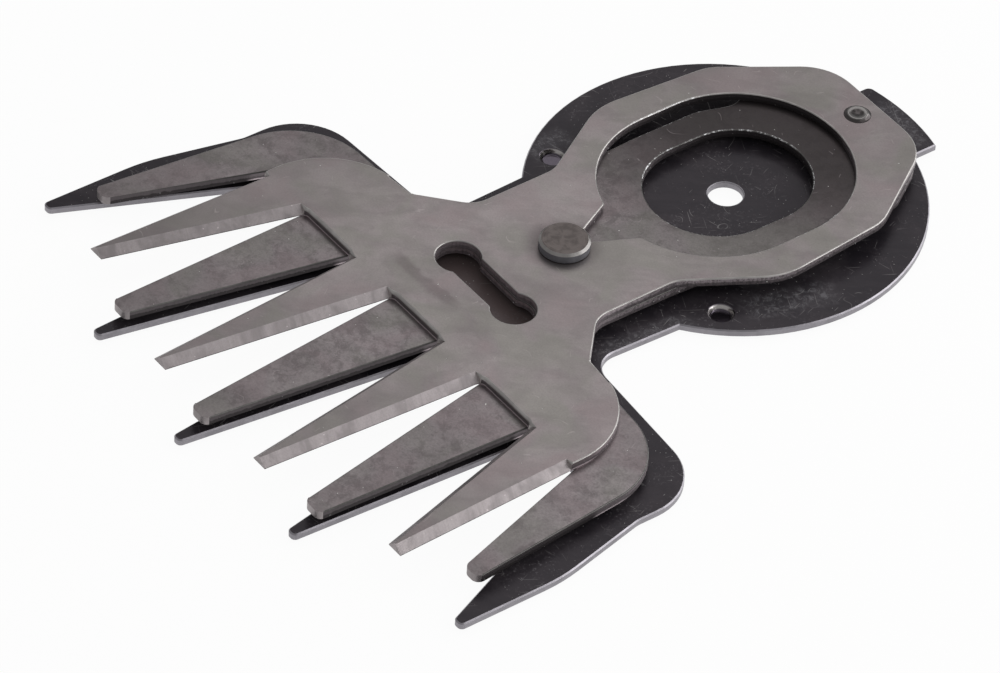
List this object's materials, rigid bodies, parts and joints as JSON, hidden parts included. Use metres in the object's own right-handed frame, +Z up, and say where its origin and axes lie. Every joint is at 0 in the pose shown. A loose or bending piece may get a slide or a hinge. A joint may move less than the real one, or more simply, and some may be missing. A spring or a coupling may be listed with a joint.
{
  "type": "grass shear blade set",
  "caption": "Toothed shear blade set: a bevelled upper and a square-edged lower steel blade swing on a rivet over a black fingered guard plate with a round drive disc.",
  "frame": {"origin": "centre of the drive hole on the underside of the guard plate", "axes": "+Z up through the stack from the guard plate to the rivet head, teeth pointing along -Y, +X across the teeth"},
  "size_m": [0.1108, 0.14, 0.0076],
  "materials": {
    "black_oxide_steel": "glossy black oxide with fine scratches and bare cut edges",
    "blade_steel": "hardened and tempered grey-brown, lightly stained, with ground bevels",
    "rivet_steel": "turned and tumbled steel"
  },
  "bodies": {
    "guard": {"guard_plate": "black_oxide_steel", "spacer_washer": "rivet_steel", "pivot_rivet": "rivet_steel"},
    "lower_blade": {"lower_blade": "blade_steel"},
    "upper_blade": {"upper_blade": "blade_steel"}
  },
  "joints": [
    {"name": "lower_blade_swing", "type": "hinge", "parent": "guard", "child": "lower_blade", "pos_m": [0, -0.0317, 0.003], "axis": [0, 0, 1], "range_deg": [-4.5, 5.5]},
    {"name": "upper_blade_swing", "type": "hinge", "parent": "guard", "child": "upper_blade", "pos_m": [0, -0.0317, 0.0044], "axis": [0, 0, 1], "range_deg": [-5.5, 4.5]}
  ]
}
